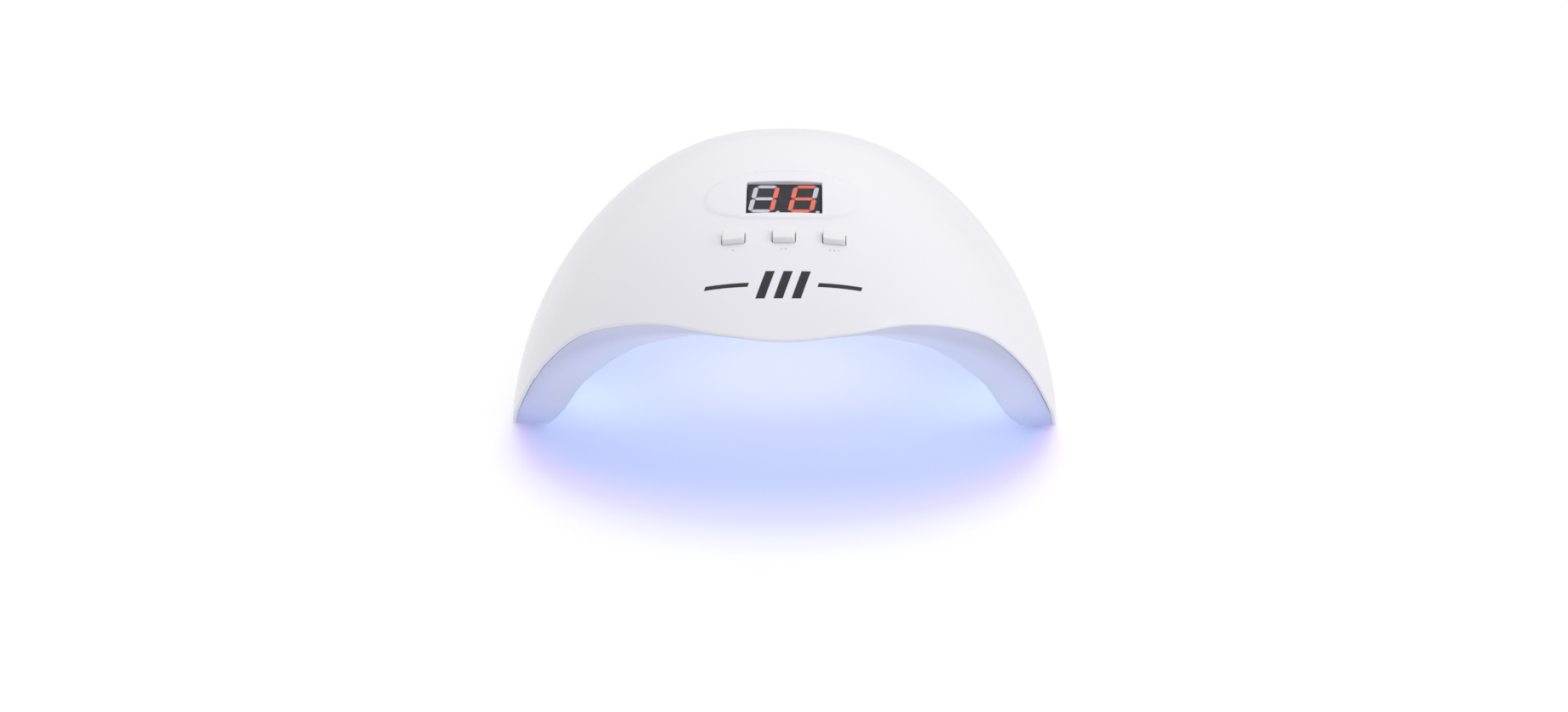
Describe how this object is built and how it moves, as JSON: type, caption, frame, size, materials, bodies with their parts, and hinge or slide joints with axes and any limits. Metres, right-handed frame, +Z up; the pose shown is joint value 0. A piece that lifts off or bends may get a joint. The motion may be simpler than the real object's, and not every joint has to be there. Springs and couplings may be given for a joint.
{
  "type": "uv curing lamp",
  "caption": "Domed tabletop UV curing lamp with a wavy front lip, an open hand tunnel lined with UV beads, a digital timer display and push buttons.",
  "frame": {"origin": "centre of the bounding box on the table plane, under the soles of the rubber feet", "axes": "+X to the lamp's right as seen from the front, -Y towards the user and the open mouth, +Z up"},
  "size_m": [0.2028, 0.2153, 0.0932],
  "materials": {
    "shell_gloss_white": "injection-moulded ABS with a polished gloss",
    "frame_satin_white": "injection-moulded ABS with a satin surface",
    "bowl_white": "bright white reflector moulding",
    "button_white": "moulded ABS",
    "led_board_white": "aluminium-core circuit board with white solder mask and its soldered beads",
    "lead_red": "flat two-core lead with PVC insulation",
    "black_plastic": "black moulded plastic",
    "circuit_green": "glass-epoxy circuit board with green solder mask",
    "screw_steel": "zinc-plated steel",
    "rubber_grey": "soft silicone rubber",
    "lens_clear": "clear epoxy bulb",
    "lens_dark": "dark epoxy bulb that passes infrared",
    "contact_nickel": "nickel-plated brass contact",
    "can_blue": "sleeved aluminium can",
    "connector_white": "nylon wire-to-board connector"
  },
  "bodies": {
    "housing": {"reflector_bowl": "bowl_white", "outer_shell": "shell_gloss_white", "base_frame": "frame_satin_white", "led_board_top": "led_board_white", "main_board": "circuit_green", "led_board_upper_right": "led_board_white", "led_board_upper_left": "led_board_white", "led_board_lower_right": "led_board_white", "led_board_lower_left": "led_board_white", "led_board_rear_right": "led_board_white", "led_board_rear_left": "led_board_white", "led_board_rear_middle": "led_board_white", "power_lead": "black_plastic", "power_socket": "black_plastic", "display_module": "black_plastic", "infrared_emitter": "lens_clear", "infrared_receiver": "lens_dark", "smoothing_capacitor": "can_blue", "choke_coil": "black_plastic", "led_lead_rear_right": "lead_red", "led_lead_rear_left": "lead_red", "rubber_foot_front_right": "rubber_grey", "rubber_foot_front_left": "rubber_grey", "rubber_foot_rear_right": "rubber_grey", "rubber_foot_rear_left": "rubber_grey", "case_screw_front_right": "screw_steel", "case_screw_front_left": "screw_steel", "case_screw_middle_right": "screw_steel", "case_screw_middle_left": "screw_steel", "case_screw_rear_right": "screw_steel", "case_screw_rear_left": "screw_steel", "bowl_screw_middle_right": "screw_steel", "bowl_screw_middle_left": "screw_steel", "bowl_screw_rear_right": "screw_steel", "bowl_screw_rear_left": "screw_steel", "board_screw_1": "screw_steel", "board_screw_2": "screw_steel", "board_screw_3": "screw_steel", "board_screw_4": "screw_steel", "led_lead_top_right": "lead_red", "led_lead_top_left": "lead_red", "switch_body_left": "black_plastic", "switch_body_middle": "black_plastic", "switch_body_right": "black_plastic", "led_lead_rear": "lead_red", "power_socket_pin": "contact_nickel", "led_lead_side_right": "lead_red", "led_lead_side_left": "lead_red", "led_lead_feed": "lead_red", "led_connector": "connector_white", "power_connector": "connector_white"},
    "button_left": {"button_cap_left": "button_white", "switch_plunger_left": "black_plastic"},
    "button_middle": {"button_cap_middle": "button_white", "switch_plunger_middle": "black_plastic"},
    "button_right": {"button_cap_right": "button_white", "switch_plunger_right": "black_plastic"}
  },
  "joints": [
    {"name": "button_left_press", "type": "slide", "parent": "housing", "child": "button_left", "axis": [0, 0.225, -0.9744], "range_m": [0, 0.0005], "stiffness_N_per_m": 400},
    {"name": "button_middle_press", "type": "slide", "parent": "housing", "child": "button_middle", "axis": [0, 0.225, -0.9744], "range_m": [0, 0.0005], "stiffness_N_per_m": 400},
    {"name": "button_right_press", "type": "slide", "parent": "housing", "child": "button_right", "axis": [0, 0.225, -0.9744], "range_m": [0, 0.0005], "stiffness_N_per_m": 400}
  ]
}
